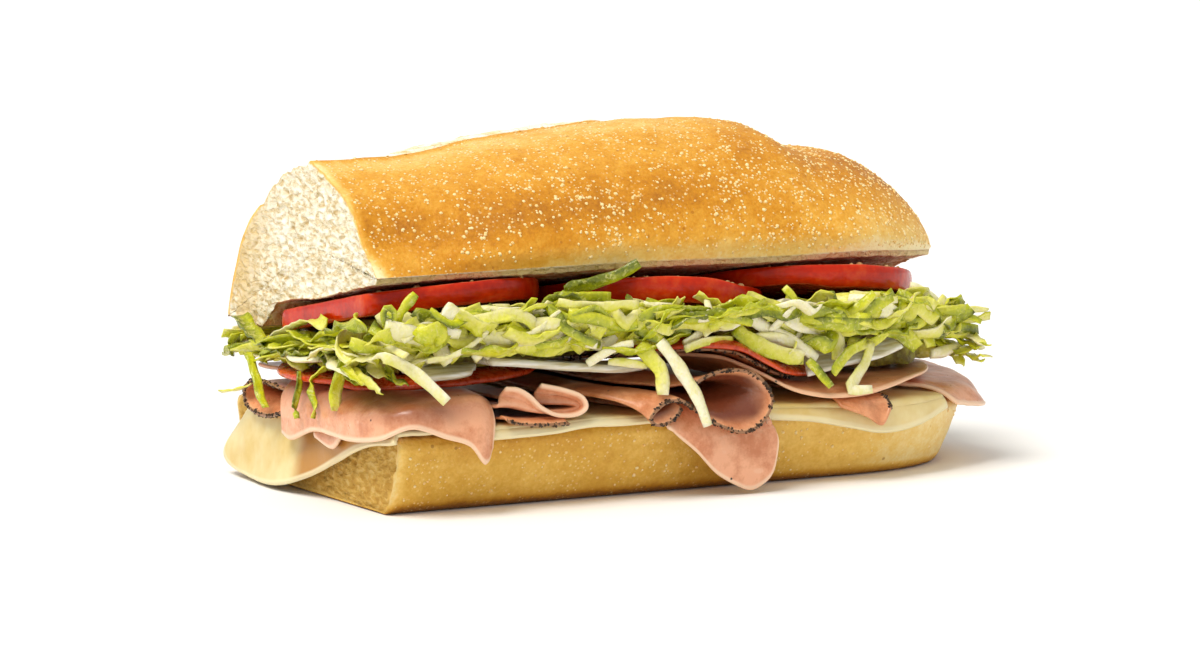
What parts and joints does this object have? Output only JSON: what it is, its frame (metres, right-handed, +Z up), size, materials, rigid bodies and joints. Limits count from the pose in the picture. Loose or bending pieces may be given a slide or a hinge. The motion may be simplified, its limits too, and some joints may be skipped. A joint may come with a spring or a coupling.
{
  "type": "submarine sandwich",
  "caption": "Half of a long crusty roll, cut across at one end, filled with folded ham, salami, cheese, onion, shredded lettuce and tomato slices.",
  "frame": {"origin": "middle of the bottom roll's flat base, on the surface it rests on", "axes": "+X from the cut end to the rounded end, -Y out of the open front where the filling shows, +Z up"},
  "size_m": [0.1854, 0.0995, 0.0815],
  "materials": {
    "bread": "dry golden crust with white crumb at the cut",
    "ham": "moist, slightly glossy",
    "salami": "glossy",
    "cheese": "satin",
    "tomato": "wet",
    "onion": "wet, slightly see-through",
    "lettuce": "crisp, slightly glossy"
  },
  "bodies": {
    "root": {"crown": "bread", "heel": "bread", "tomato_1": "tomato", "tomato_2": "tomato", "tomato_3": "tomato", "lettuce": "lettuce", "cheese_left": "cheese", "cheese_middle": "cheese", "cheese_right": "cheese", "ham_left": "ham", "ham_left_corner": "ham", "ham_roll_left": "ham", "ham_inner": "ham", "ham_pleat": "ham", "ham_scroll": "ham", "ham_tongue": "ham", "ham_thin": "ham", "ham_right": "ham", "ham_right_corner": "ham", "ham_end": "ham", "salami_left": "salami", "salami_right": "salami", "onion_left": "onion", "onion_middle": "onion", "onion_right": "onion"}
  },
  "joints": []
}
